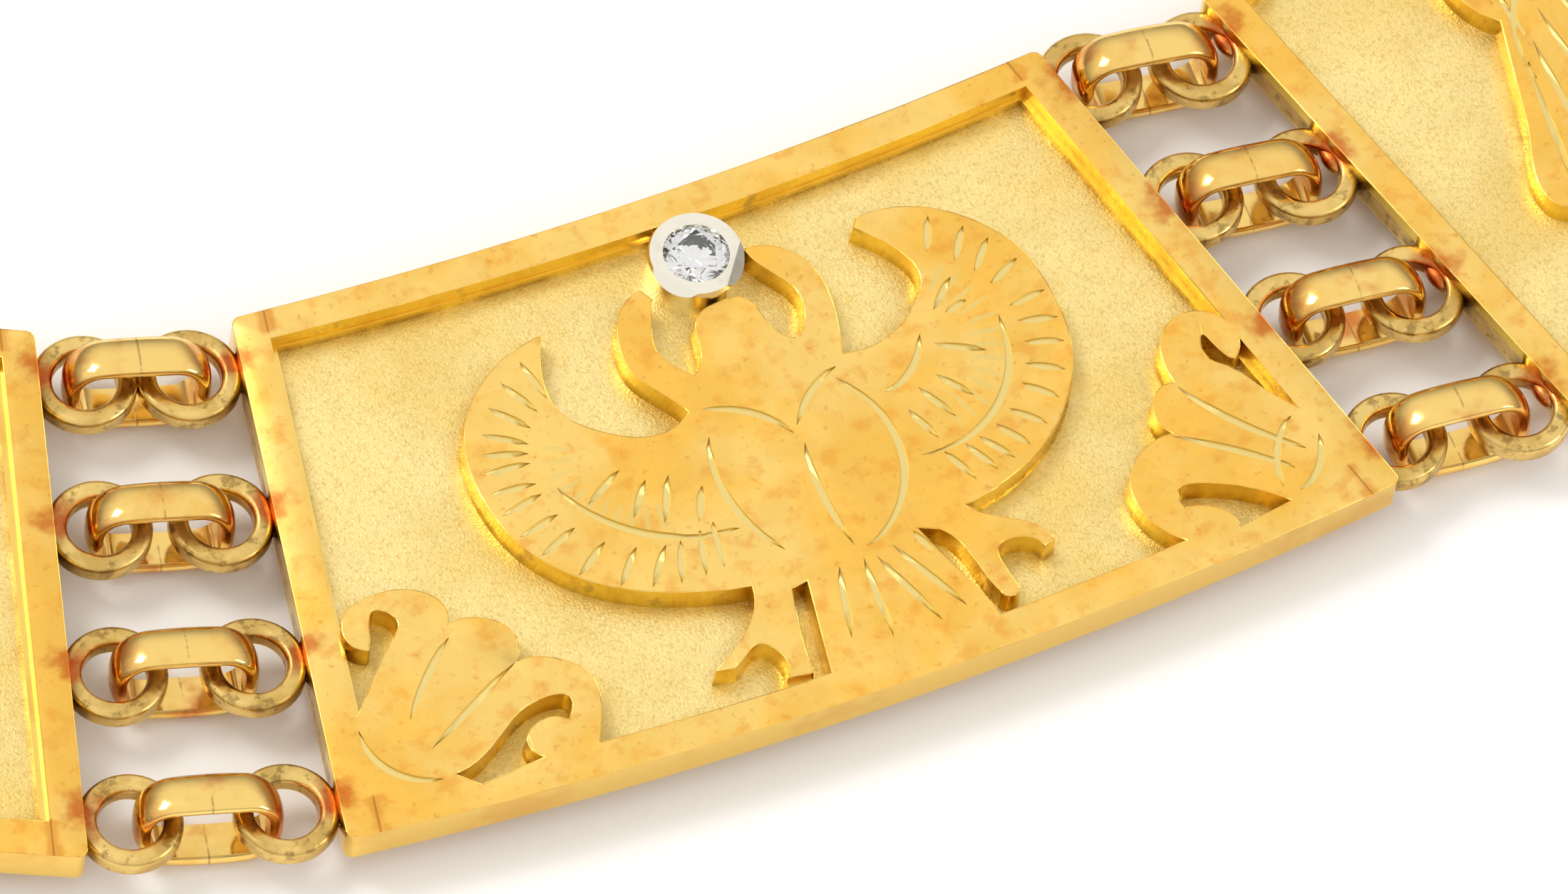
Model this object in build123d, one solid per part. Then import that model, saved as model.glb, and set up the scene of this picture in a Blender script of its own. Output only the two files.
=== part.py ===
from build123d import *
import os
from math import atan2, cos, hypot, pi, radians, sin, sqrt, tan

# A gold collar of twelve linked plaques: cast scarab and falcon reliefs, band links, white settings

os.makedirs("parts", exist_ok=True)

# Driving sizes in millimetres and degrees
plaque_count = 12
plaque_height = 17.7
plaque_top_width = 26.6
plaque_bottom_width = 34.6
plaque_thickness = 1.2
top_edge_sag = 0.58
bottom_edge_bulge = 1.0
corner_radius = 0.3
frame_width = 1.05
field_thickness = 0.4
engraving_depth = 0.12
engraving_width = 0.17

ring_outer = 3.2
ring_inner = 1.95
ring_thickness = 0.7
ring_edge_radius = 0.2
ring_base = 0.05
rings_per_side = 4
ring_first = 1.45
ring_pitch = 5.05
scarab_left_reach = 1.5
scarab_right_reach = 1.0
falcon_left_reach = 1.07
falcon_right_reach = 1.42

link_length = 4.55
link_height = 2.66
link_width = 1.2
link_thickness = 0.38
link_bend_radius = 0.9
link_outer_rounding = 0.15
link_leans = (30.0, 28.0, 31.0, 29.0)

front_right_gap = 5.58
front_right_slip = -1.31
front_right_turn = 27.4
front_left_gap = 6.83
front_left_slip = -0.08
front_left_turn = 31.2
scarab_to_falcon_gap = 6.1
falcon_to_scarab_gap = 6.94
clasp_gap_number = 5
clasp_bar_width = 1.3
clasp_bar_thickness = 0.8
clasp_bar_overrun = 1.2
clasp_bar_height = 0.9

bezel_outer = 2.95
bezel_rise = 0.4
bezel_window = 2.02
bezel_lip = 0.14
bezel_taper = 0.06
bezel_facet_depth = 0.28
bezel_facet_tilt = 48.0
bezel_facet_turns = (-146.0, -38.0)
bezel_clearance = 0.03
stone_diameter = 2.14
stone_clearance = 0.02
stone_drop = 0.06
girdle_share = 0.03
table_share = 0.57
crown_angle = 34.5
star_share = 0.8
pavilion_angle = 41.0
lower_tip_share = 0.22

# Values that follow from the driving sizes
unit = plaque_height / 177
half_height = plaque_height / 2
half_top = plaque_top_width / 2
half_bottom = plaque_bottom_width / 2
wall_slope = (half_bottom - half_top) / plaque_height
wall_stretch = sqrt(1 + wall_slope**2)
ring_middle = ring_base + ring_thickness / 2
bezel_centre = (5.7 * unit, 57.5 * unit)


def lowest_reach(lean):
    """How far a leaning link reaches below the middle of the rings that it holds."""
    down = (link_height / 2 - link_outer_rounding) * cos(radians(lean))
    edge = (link_width / 2 - link_outer_rounding) * sin(radians(lean))
    return down + edge + link_outer_rounding


plaque_lift = max(lowest_reach(lean) for lean in link_leans) - ring_middle

# Outlines of the scarab in 177ths of the plaque height, measured from its middle.
# Each row is one smooth stretch, and stretches meet at corners.
LEFT_WING = [
    [(-48, 50), (-72, 41), (-84, 27), (-88, 5), (-84, -14), (-71, -32), (-52, -44), (-25, -52)],
    [(-25, -52), (0, -46)],
    [(0, -46), (0, 8)],
    [(0, 8), (-18, 10)],
    [(-18, 10), (-30, 6), (-45, 13), (-54, 24), (-54, 36), (-48, 50)],
]
RIGHT_WING = [
    [
        (57, 54), (74, 52), (89, 42), (99, 27), (102, 9),
        (100, -9), (95, -20), (82, -35), (69, -43), (47, -49),
    ],
    [(47, -49), (20, -46)],
    [(20, -46), (20, 8)],
    [(20, 8), (34, 12)],
    [(34, 12), (50, 13), (62, 21), (67, 29), (65, 38), (55, 51)],
    [(55, 51), (57, 54)],
]
LEFT_FORELEG = [
    [(-18, 10), (-23, 19), (-28, 28), (-28, 38), (-23, 49), (-14, 54)],
    [(-14, 54), (-12, 50)],
    [(-12, 50), (-16, 41), (-18, 33), (-14, 24), (-11, 21)],
    [(-11, 21), (0, 0)],
    [(0, 0), (-18, 10)],
]
RIGHT_FORELEG = [
    [(24, 22), (29, 29), (30, 37), (26, 45), (21, 56)],
    [(21, 56), (31, 53), (37, 46), (39, 37), (38, 26), (34, 12)],
    [(34, 12), (20, 0)],
    [(20, 0), (24, 22)],
]
HEAD = [
    [(-11, 21), (-5, 31), (-3, 38), (8, 42), (15, 40), (17, 33), (24, 22)],
    [(24, 22), (20, -5)],
    [(20, -5), (0, -5)],
    [(0, -5), (-11, 21)],
]
BODY = [
    [(-18, 10), (8, 18), (34, 12)],
    [(34, 12), (47, -49)],
    [(47, -49), (36, -54)],
    [(36, -54), (29, -51)],
    [(29, -51), (10, -57), (-7, -56)],
    [(-7, -56), (-14, -57)],
    [(-14, -57), (-25, -52)],
    [(-25, -52), (-18, 10)],
]
LEFT_LEG = [
    [(-25, -52), (-28, -60), (-36, -68), (-47, -75)],
    [(-47, -75), (-41, -76)],
    [(-41, -76), (-36, -73), (-31, -71), (-27, -75), (-28, -85)],
    [(-28, -85), (-20, -86)],
    [(-20, -86), (-18, -73), (-14, -57)],
    [(-14, -57), (-14, -48)],
    [(-14, -48), (-25, -52)],
]
RIGHT_LEG = [
    [(47, -49), (54, -56), (64, -63), (67, -69)],
    [(67, -69), (63, -71)],
    [(63, -71), (57, -65), (50, -66), (49, -73), (50, -81)],
    [(50, -81), (47, -83), (44, -80)],
    [(44, -80), (42, -72), (40, -61), (36, -54)],
    [(36, -54), (36, -46)],
    [(36, -46), (47, -49)],
]
TAIL = [
    [(-7, -48), (-15, -88)],
    [(-15, -88), (-15, -94)],
    [(-15, -94), (42, -94)],
    [(42, -94), (40, -83)],
    [(40, -83), (36, -70), (32, -58), (29, -48)],
    [(29, -48), (-7, -48)],
]
SCARAB = [LEFT_WING, RIGHT_WING, LEFT_FORELEG, RIGHT_FORELEG, HEAD, BODY, LEFT_LEG, RIGHT_LEG, TAIL]

# Engraved lines of the scarab: start, bulge and end of each, in the same units
SCARAB_LINES = [
    [(41, -29), (73, -18), (83, 8)],
    [(-66, 0), (-50, -22), (-20, -32)],
    [(40, -5), (50, -1), (58, 10)],
    [(28, 5), (37, -20), (13, -52)],
    [(-16, 0), (-19, -22), (-10, -44)],
    [(-14, 9), (1, 2), (9, -8)],
    [(30, 9), (19, 3), (11, -6)],
    [(10, -12), (8, -31), (10, -50)],
]
SCARAB_STROKES = [
    [(75, 25), (66, 16)],
    [(76, 16), (69, 14)],
    [(75, -2), (61, 5)],
    [(65, -15), (57, -5)],
    [(57, -20), (50, -7)],
    [(49, -25), (44, -13)],
    [(-59, -9), (-46, -1)],
    [(-48, -18), (-40, -7)],
    [(-40, -23), (-33, -8)],
    [(-30, -26), (-25, -15)],
    [(2, -55), (-4, -79)],
    [(10, -55), (8, -83)],
    [(14, -56), (24, -83)],
    [(20, -54), (33, -81)],
    [(28, -52), (31, -60)],
]
# Flight feathers: the angle of each engraved stroke at its outer and inner end, about the wing's middle,
# between two circles whose radii are in the same units
RIGHT_WING_MIDDLE = (52, 6)
RIGHT_FEATHER_RADII = (48, 36)
RIGHT_FEATHERS = [
    (58, 55), (45, 41), (35, 30), (22, 20), (6, 5), (-6, -4), (-16, -16),
    (-28, -28), (-40, -39), (-52, -55), (-63, -66), (-71, -77), (-79, -85), (-88, -96),
]
LEFT_WING_MIDDLE = (-39, 2)
LEFT_FEATHER_RADII = (46, 32)
LEFT_FEATHERS = [
    (115, 121), (127, 131), (139, 142), (151, 152), (160, 158), (168, 164), (177, 177), (187, 184),
    (198, 199), (209, 211), (225, 229), (241, 246), (253, 262), (264, 271), (274, 283), (282, 292),
]

# Corner flowers in the same units, measured from the bottom corner of the plaque towards its middle
LEFT_LOTUS = [
    [(20, 38), (29, 47), (39, 57), (44, 64), (39, 69), (35, 63), (32, 57)],
    [(32, 57), (27, 63), (30, 71), (39, 74), (52, 72), (59, 65), (58, 57)],
    [(58, 57), (67, 56), (74, 50), (72, 38)],
    [(72, 38), (83, 35), (91, 24), (88, 12), (84, 4)],
    [(84, 4), (84, -4)],
    [(84, -4), (4, -4)],
    [(4, -4), (12, 38)],
    [(12, 38), (20, 38)],
]
LEFT_LOTUS_SLOT = [
    [(39, 9), (58, 17), (70, 23), (81, 22), (78, 14)],
    [(78, 14), (71, 17), (64, 13), (66, 5)],
    [(66, 5), (45, 3)],
    [(45, 3), (39, 9)],
]
LEFT_LOTUS_LINES = [
    [(56, 53), (45, 43), (34, 31)],
    [(71, 38), (54, 29), (36, 19)],
    [(18, 33), (20, 19), (35, 9)],
]
RIGHT_LOTUS = [
    [(18, 34), (27, 47), (32, 55), (37, 62), (35, 68), (33, 63), (29, 57)],
    [(29, 57), (25, 63), (28, 73), (38, 77), (47, 72), (50, 64), (50, 56)],
    [(50, 56), (56, 55), (60, 49), (58, 40)],
    [(58, 40), (68, 38), (77, 29), (76, 13), (67, 3)],
    [(67, 3), (67, -4)],
    [(67, -4), (4, -4)],
    [(4, -4), (10, 34)],
    [(10, 34), (18, 34)],
]
RIGHT_LOTUS_SLOT = [
    [(34, 6), (42, 13), (57, 21), (63, 22), (65, 15)],
    [(65, 15), (58, 13), (53, 8), (52, 3)],
    [(52, 3), (34, 6)],
]
RIGHT_LOTUS_LINES = [
    [(50, 54), (40, 39), (22, 21)],
    [(59, 39), (44, 29), (28, 16)],
    [(22, 33), (31, 23), (34, 11)],
    [(17, 24), (21, 14), (30, 8)],
]

# Outlines of the falcon's left half, mirrored for the right, in the same units from the plaque's middle
FALCON_WING = [
    [(-12, 32), (-32, 49), (-55, 54), (-74, 44), (-81, 29), (-79, 15)],
    [(-79, 15), (-94, -3), (-106, -17), (-117, -29), (-119, -36), (-114, -43)],
    [(-114, -43), (-96, -48), (-74, -46), (-50, -36), (-30, -24), (-12, -20)],
    [(-12, -20), (4, -16)],
    [(4, -16), (4, 30)],
    [(4, 30), (-12, 32)],
]
FALCON_BODY = [
    [(-12, 32), (-19, 12), (-17, -12), (-11, -30)],
    [(-11, -30), (-24, -78), (-26, -94)],
    [(-26, -94), (4, -94)],
    [(4, -94), (4, 32)],
    [(4, 32), (-12, 32)],
]
FALCON_LEG = [
    [(-13, -26), (-22, -38), (-31, -47), (-38, -56)],
    [(-38, -56), (-31, -58)],
    [(-31, -58), (-22, -50), (-12, -42)],
    [(-12, -42), (-13, -26)],
]
FALCON_LINES = [
    [(-14, 22), (-48, 38), (-76, 20)],
    [(-16, 6), (-55, 22), (-88, -6)],
    [(-18, 24), (-24, 4), (-15, -20)],
]
# Engraved strokes of the falcon, start and end of each: two rows of coverts, flight feathers and tail
FALCON_STROKES = [
    [(-24, 32), (-20, 24)], [(-36, 43), (-32, 32)], [(-48, 49), (-46, 36)],
    [(-60, 48), (-57, 35)], [(-71, 41), (-67, 29)],
    [(-22, 20), (-24, 9)], [(-34, 27), (-36, 14)], [(-47, 32), (-50, 17)],
    [(-60, 29), (-64, 14)], [(-72, 22), (-78, 6)],
    [(-25, 4), (-26, -20)], [(-36, 11), (-40, -27)], [(-47, 14), (-56, -35)], [(-58, 14), (-72, -42)],
    [(-68, 10), (-87, -44)], [(-78, 4), (-101, -43)], [(-85, 0), (-111, -39)],
    [(-4, -36), (-6, -80)], [(-9, -40), (-17, -80)],
]
sun_radius = 13 * unit
sun_height = 59 * unit
falcon_head_radius = 12 * unit
falcon_head_height = 38 * unit
talon_ring_radius = 10 * unit
talon_ring_bore = 5 * unit
talon_ring_place = (38 * unit, -64 * unit)


def stretch(points, place):
    """One smooth stretch of an outline: a line, an arc or a spline through its points."""
    spots = [place(x, y) for x, y in points]
    if len(spots) == 2:
        return Line(*spots)
    if len(spots) == 3:
        return ThreePointArc(*spots)
    return Spline(*spots)


def face_of(outline, place):
    return make_face([stretch(points, place) for points in outline])


def from_middle(x, y):
    return (x * unit, y * unit)


def mirrored(x, y):
    return (-x * unit, y * unit)


def from_left_corner(x, y):
    return (-half_bottom + x * unit, -half_height + y * unit)


def from_right_corner(x, y):
    return (half_bottom - x * unit, -half_height + y * unit)


def engraved(start, bulge, end, width=engraving_width):
    """A pointed sliver between two arcs, the shape that a graver cuts."""
    along = (end[0] - start[0], end[1] - start[1])
    length = hypot(*along)
    aside = (-along[1] / length * width / 2, along[0] / length * width / 2)
    one = ThreePointArc(start, (bulge[0] + aside[0], bulge[1] + aside[1]), end)
    other = ThreePointArc(end, (bulge[0] - aside[0], bulge[1] - aside[1]), start)
    return make_face([one, other])


def engraved_lines(rows, place):
    return [engraved(*(place(*spot) for spot in row)) for row in rows]


def engraved_strokes(rows, place):
    cuts = []
    for start, end in rows:
        first = place(*start)
        last = place(*end)
        middle = ((first[0] + last[0]) / 2, (first[1] + last[1]) / 2)
        cuts.append(engraved(first, middle, last))
    return cuts


def feather_strokes(rows, centre, radii):
    """Strokes between two circles about the middle of a wing."""
    strokes = []
    for angles in rows:
        ends = []
        for radius, angle in zip(radii, angles):
            around = radians(angle)
            ends.append((centre[0] + radius * cos(around), centre[1] + radius * sin(around)))
        strokes.append(ends)
    return engraved_strokes(strokes, from_middle)


def plaque_outline(inset):
    """The plaque seen from above, drawn in by inset all round."""
    top = half_height - inset
    bottom = -half_height + inset
    at_top = half_top + inset * wall_slope - inset * wall_stretch
    at_bottom = half_bottom - inset * wall_slope - inset * wall_stretch
    edges = [
        ThreePointArc((-at_top, top), (0, top - top_edge_sag), (at_top, top)),
        Line((at_top, top), (at_bottom, bottom)),
        ThreePointArc((at_bottom, bottom), (0, bottom - bottom_edge_bulge), (-at_bottom, bottom)),
        Line((-at_bottom, bottom), (-at_top, top)),
    ]
    return make_face(edges)


def ring_spot(row, side, reach):
    """The middle of one side ring: row 0 is at the top, side is -1 at the left and 1 at the right."""
    down = ring_first + ring_pitch * row
    x = half_top + down * wall_slope / wall_stretch + reach / wall_stretch
    y = half_height - down / wall_stretch + reach * wall_slope / wall_stretch
    return (side * x, y)


def side_ring():
    width = (ring_outer - ring_inner) / 2
    section = Plane.XZ * Pos(ring_inner / 2 + width / 2, 0) * RectangleRounded(
        width, ring_thickness, ring_edge_radius
    )
    return revolve(section, Axis.Z)


def joined(faces):
    whole = faces[0]
    for face in faces[1:]:
        whole = whole + face
    return whole


def make_plaque(figures, slots, cuts, reaches, pocket):
    """A plate sunk round its figures, engraved, with the side rings soldered on."""
    block = extrude(plaque_outline(0), plaque_thickness)
    block = fillet(block.edges().filter_by(Axis.Z), corner_radius)
    field = plaque_outline(frame_width) - joined(figures)
    if slots:
        field = field + joined(slots)
    depth = plaque_thickness - field_thickness
    body = block - Pos(0, 0, field_thickness) * extrude(field, depth * 2)
    grooves = Pos(0, 0, plaque_thickness - engraving_depth) * extrude(Sketch() + cuts, engraving_depth * 2)
    body = body - grooves
    if pocket:
        well = Pos(*bezel_centre, field_thickness) * Cylinder(
            bezel_outer / 2 + bezel_clearance, depth * 2, align=(Align.CENTER, Align.CENTER, Align.MIN)
        )
        body = body - well
    rings = []
    for side, reach in zip((-1, 1), reaches):
        for row in range(rings_per_side):
            rings.append(Pos(*ring_spot(row, side, reach), ring_middle) * side_ring())
    return body + rings


def make_scarab_plaque():
    figures = [face_of(outline, from_middle) for outline in SCARAB]
    figures.append(face_of(LEFT_LOTUS, from_left_corner))
    figures.append(face_of(RIGHT_LOTUS, from_right_corner))
    slots = [face_of(LEFT_LOTUS_SLOT, from_left_corner), face_of(RIGHT_LOTUS_SLOT, from_right_corner)]
    cuts = engraved_lines(SCARAB_LINES, from_middle)
    cuts += engraved_lines(LEFT_LOTUS_LINES, from_left_corner)
    cuts += engraved_lines(RIGHT_LOTUS_LINES, from_right_corner)
    cuts += engraved_strokes(SCARAB_STROKES, from_middle)
    cuts += feather_strokes(RIGHT_FEATHERS, RIGHT_WING_MIDDLE, RIGHT_FEATHER_RADII)
    cuts += feather_strokes(LEFT_FEATHERS, LEFT_WING_MIDDLE, LEFT_FEATHER_RADII)
    return make_plaque(figures, slots, cuts, (scarab_left_reach, scarab_right_reach), True)


def make_falcon_plaque():
    figures = []
    cuts = []
    for place, side in ((from_middle, -1), (mirrored, 1)):
        figures += [face_of(outline, place) for outline in (FALCON_WING, FALCON_BODY, FALCON_LEG)]
        talon = Circle(talon_ring_radius) - Circle(talon_ring_bore)
        figures.append(Pos(side * talon_ring_place[0], talon_ring_place[1]) * talon)
        cuts += engraved_lines(FALCON_LINES, place)
        cuts += engraved_strokes(FALCON_STROKES, place)
    figures.append(Pos(0, sun_height) * Circle(sun_radius))
    figures.append(Pos(0, falcon_head_height) * Circle(falcon_head_radius))
    return make_plaque(figures, [], cuts, (falcon_left_reach, falcon_right_reach), False)


def make_link():
    """A band link lying along X, its band's width along Y."""
    def band(length, height, radius):
        return Plane.XZ * RectangleRounded(length, height, radius)

    outer = extrude(band(link_length, link_height, link_bend_radius), link_width / 2, both=True)
    hole = band(
        link_length - 2 * link_thickness, link_height - 2 * link_thickness, link_bend_radius - link_thickness
    )
    outer = fillet(outer.faces().filter_by(Axis.Y).edges(), link_outer_rounding)
    link = outer - extrude(hole, link_width, both=True)
    return link


def around_axis(radius, height, turn):
    """A point on a circle, turn counted in sixteenths."""
    angle = 2 * pi * turn / 16
    return Vector(radius * cos(angle), radius * sin(angle), height)


def make_stone():
    """A round brilliant with its girdle about z = 0: table, stars, kites and girdle facets, then the pavilion."""
    radius = stone_diameter / 2
    girdle = stone_diameter * girdle_share / 2
    flat = radius * table_share
    star_radius = radius * star_share
    tip_radius = radius * lower_tip_share
    crown_fall = tan(radians(crown_angle))
    pavilion_fall = tan(radians(pavilion_angle))
    half_step = cos(pi / 8)
    table_height = girdle + (radius - flat) * crown_fall
    star_height = table_height - (star_radius * half_step - flat) * crown_fall
    tip_height = -girdle - (radius - tip_radius * half_step) * pavilion_fall
    culet = Vector(0, 0, -girdle - radius * pavilion_fall)
    facets = [[around_axis(flat, table_height, 2 * i) for i in range(8)]]
    for i in range(0, 16, 2):
        corner = around_axis(flat, table_height, i)
        next_corner = around_axis(flat, table_height, i + 2)
        star = around_axis(star_radius, star_height, i + 1)
        star_before = around_axis(star_radius, star_height, i - 1)
        tip = around_axis(tip_radius, tip_height, i + 1)
        tip_before = around_axis(tip_radius, tip_height, i - 1)
        above = [around_axis(radius, girdle, i + k) for k in range(3)]
        below = [around_axis(radius, -girdle, i + k) for k in range(3)]
        facets.append([corner, star, next_corner])
        facets.append([corner, star_before, above[0], star])
        facets.append([star, above[0], above[1]])
        facets.append([star, above[1], above[2]])
        facets.append([above[0], below[0], below[1], above[1]])
        facets.append([above[1], below[1], below[2], above[2]])
        facets.append([culet, tip_before, below[0], tip])
        facets.append([tip, below[0], below[1]])
        facets.append([tip, below[1], below[2]])
    return Solid(Shell([Face(Wire.make_polygon(facet)) for facet in facets]))


def make_bezel():
    """A tapered white collar standing on the sunk field, bored for the stone, its lip over the girdle."""
    height = plaque_thickness - field_thickness + bezel_rise
    radius = bezel_outer / 2
    bore = stone_diameter / 2 + stone_clearance
    lip = bezel_lip
    section = Polyline(
        (bore, 0),
        (radius, 0),
        (radius, height - lip),
        (radius - bezel_taper, height),
        (bezel_window / 2, height),
        (bezel_window / 2, height - lip),
        (bore, height - lip),
        close=True,
    )
    collar = revolve(Plane.XZ * make_face(section), Axis.Z)
    for turn in bezel_facet_turns:
        around = radians(turn)
        normal = (cos(around), sin(around), tan(radians(bezel_facet_tilt)))
        edge = (radius * cos(around), radius * sin(around), height - bezel_facet_depth)
        collar = split(collar, bisect_by=Plane(origin=edge, z_dir=normal), keep=Keep.BOTTOM)
    return collar


def place_along(start, angle, forward, aside=0.0):
    """A point moved forward and aside from start, along a direction given in degrees."""
    a = radians(angle)
    return (start[0] + forward * cos(a) - aside * sin(a), start[1] + forward * sin(a) + aside * cos(a))


def collar_loop():
    """The middle and turn of every plaque, from the front one round to the right, as one closed loop."""
    half_middle = (half_top + half_bottom) / 2
    free = plaque_count - 2
    plain_turn = (360 - front_right_turn - front_left_turn) / free
    gaps = [[front_right_gap, front_right_slip, front_right_turn]]
    for number in range(1, plaque_count - 1):
        width = falcon_to_scarab_gap if number % 2 else scarab_to_falcon_gap
        gaps.append([width, 0.0, plain_turn])
    gaps.append([front_left_gap, front_left_slip, front_left_turn])

    def walk():
        spot = (0.0, 0.0)
        angle = 0.0
        spots = []
        directions = []
        for width, slip, turn in gaps:
            spots.append((spot, angle))
            directions.append(angle + turn / 2)
            spot = place_along(spot, angle, half_middle)
            spot = place_along(spot, angle + turn / 2, width, slip)
            angle += turn
            spot = place_along(spot, angle, half_middle)
        return spots, directions, spot

    _, directions, miss = walk()
    for gap, direction in zip(gaps[1:-1], directions[1:-1]):
        a = radians(direction)
        gap[0] -= (miss[0] * cos(a) + miss[1] * sin(a)) / free
        gap[1] -= (miss[1] * cos(a) - miss[0] * sin(a)) / free
    return walk()[0], gaps


def ring_in_collar(station, row, side, reach):
    (x, y), angle = station
    local = ring_spot(row, side, reach)
    return place_along((x, y), angle, local[0], local[1])


def reaches_at(number):
    """How far the gap's two rows of rings stand from their walls."""
    if number % 2:
        return falcon_right_reach, scarab_left_reach
    return scarab_right_reach, falcon_left_reach


def link_places(number, stations):
    """Where the four links of a gap lie: middle, direction and lean."""
    here = stations[number]
    there = stations[(number + 1) % plaque_count]
    near, far = reaches_at(number)
    places = []
    for row in range(rings_per_side):
        a = ring_in_collar(here, row, 1, near)
        b = ring_in_collar(there, row, -1, far)
        middle = ((a[0] + b[0]) / 2, (a[1] + b[1]) / 2)
        direction = atan2(b[1] - a[1], b[0] - a[0]) * 180 / pi
        places.append((middle, direction, link_leans[(row + number) % len(link_leans)]))
    return places


def lay(shape, spot, angle, height):
    return Pos(spot[0], spot[1], height) * Rot(0, 0, angle) * shape


def make_clasp(laid_links, places):
    """One plain piece: the gap's four links joined by a flat bar through their middles."""
    first = places[0][0]
    last = places[-1][0]
    run = hypot(last[0] - first[0], last[1] - first[1]) + clasp_bar_overrun
    middle = ((first[0] + last[0]) / 2, (first[1] + last[1]) / 2)
    angle = atan2(last[1] - first[1], last[0] - first[0]) * 180 / pi
    bar = Box(run, clasp_bar_width, clasp_bar_thickness)
    bar = lay(bar, middle, angle, plaque_lift + ring_middle + clasp_bar_height)
    return bar + laid_links


scarab_plaque = make_scarab_plaque()
falcon_plaque = make_falcon_plaque()
bezel = Pos(*bezel_centre, field_thickness) * make_bezel()
girdle_height = plaque_thickness + bezel_rise - bezel_lip - stone_diameter * girdle_share / 2 - stone_drop
stone = Pos(*bezel_centre, girdle_height) * make_stone()
link = make_link()
stations, gaps = collar_loop()

pieces = {}
for number, (spot, angle) in enumerate(stations):
    kind = falcon_plaque if number % 2 else scarab_plaque
    pieces[f"plaque_{number:02d}"] = lay(kind, spot, angle, plaque_lift)
    if number % 2 == 0:
        pieces[f"bezel_{number:02d}"] = lay(bezel, spot, angle, plaque_lift)
        pieces[f"brilliant_{number:02d}"] = lay(stone, spot, angle, plaque_lift)
for number in range(plaque_count):
    places = link_places(number, stations)
    laid = [
        lay(Rot(-lean, 0, 0) * link, middle, direction, plaque_lift + ring_middle)
        for middle, direction, lean in places
    ]
    if number == clasp_gap_number:
        pieces["clasp"] = make_clasp(laid, places)
    else:
        pieces[f"links_{number:02d}"] = Compound(laid)

box = Compound(list(pieces.values())).bounding_box()
centre = box.center()
for name, shape in pieces.items():
    export_step(Pos(-centre.X, -centre.Y, -box.min.Z) * shape, f"parts/{name}.step")

print("collar across", round(box.size.X, 1), "deep", round(box.size.Y, 1), "high", round(box.size.Z, 2))
print("gaps", [round(width, 2) for width, slip, turn in gaps])
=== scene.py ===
import bmesh
import bpy
import math
from mathutils import Matrix, Vector


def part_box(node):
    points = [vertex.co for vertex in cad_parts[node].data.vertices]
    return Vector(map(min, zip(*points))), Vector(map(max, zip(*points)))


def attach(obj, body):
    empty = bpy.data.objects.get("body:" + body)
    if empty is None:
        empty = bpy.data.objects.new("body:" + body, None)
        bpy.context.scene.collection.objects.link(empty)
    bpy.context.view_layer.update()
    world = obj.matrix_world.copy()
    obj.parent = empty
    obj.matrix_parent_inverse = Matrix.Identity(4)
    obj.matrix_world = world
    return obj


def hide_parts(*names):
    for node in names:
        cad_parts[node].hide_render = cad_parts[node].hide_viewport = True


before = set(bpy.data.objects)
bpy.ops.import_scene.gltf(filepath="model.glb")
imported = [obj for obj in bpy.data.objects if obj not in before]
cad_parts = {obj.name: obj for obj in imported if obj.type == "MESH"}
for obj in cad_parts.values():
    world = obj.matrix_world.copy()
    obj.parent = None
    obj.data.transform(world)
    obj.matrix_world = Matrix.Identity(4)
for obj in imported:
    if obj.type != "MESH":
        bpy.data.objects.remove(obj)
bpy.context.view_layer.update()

MM = 0.001
PLAQUE_NAMES = sorted(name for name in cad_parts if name.startswith("plaque"))
SCARAB_NAMES = PLAQUE_NAMES[::2]
LINK_NAMES = sorted(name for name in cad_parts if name.startswith("links"))

# The collar's sizes in millimetres, as the solids have them
HALF_HEIGHT = 8.85
HALF_TOP = 13.3
HALF_BOTTOM = 17.3
THICKNESS = 1.2
FIELD = 0.4
GROOVE_FLOOR = 1.08
RING_LOW = 0.05
RING_HIGH = 0.75
RING_FIRST = 1.45
RING_PITCH = 5.05
NEAR = 0.012
SAME_PLACE = 0.0005
WALL_SLOPE = (HALF_BOTTOM - HALF_TOP) / (2 * HALF_HEIGHT)
WALL_STRETCH = math.sqrt(1 + WALL_SLOPE**2)

# How the goldsmith's finish departs from sharp edges and upright walls, in millimetres
ARRIS_ROUND = 0.035
SHOULDER_SHARE = 0.3
WALL_DRAFT = 0.06
GROOVE_RISE = 0.05
GROOVE_SPREAD = 0.045
GROOVE_FLOOR_SPREAD = 0.025
FOLD_PASSES = 6
FILED_EDGE = 0.26
FILED_LEAST_RUN = 3.0
SHARP_ANGLE = math.radians(50)

# The frame's bars, the step along their inside and the web below the scarab's left foot
FRAME_WIDTH = 1.05
TOP_SAG = 0.58
BOTTOM_BULGE = 1.0
LEDGE_WIDTH = 0.24
LEDGE_HEIGHT = 0.3
LEDGE_LAP = 0.03
LEDGE_SINK = 0.05
BOW_STEPS = 16
FOOT_MIDDLE = (-2.435, -8.8, 0.65)
FOOT_SIZE = (0.78, 0.6, 0.6)

# Swells of solder at the side rings, and how far inside the wall a ring's root may lie
SOLDER_SIZE = (0.3, 0.62, 0.26)
SOLDER_SINK = 0.02
RING_ROOT = 0.2

# Marks in the metal's colour: seams across the bars, stains and rays
SEAM_EDGES = (0.045, 0.02)
SEAM_STAIN_REACH = 0.35
SEAM_START = 0.9
STAIN_RAGGEDNESS = 1.8
RAY_HALF_WIDTH = 0.1
RAY_SOFTNESS = 0.035
RAY_END_SOFTNESS = 0.02

# Band links: overall length, height, band width, thickness, bend radius and lean
LINK_LENGTH = 4.5
LINK_HEIGHT = 2.72
BAND_WIDTH = 1.5
BAND_THICKNESS = 0.46
BAND_EDGE = 0.2
BEND_RADIUS = 1.15
BAND_NARROWING = 0.16
BAND_ARCH = 0.12
LINK_LEAN = math.radians(13)
DOME_STEPS = 10
DOME_FULLNESS = 0.8
STRAIGHT_STEPS = 6
BEND_STEPS = 8

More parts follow.
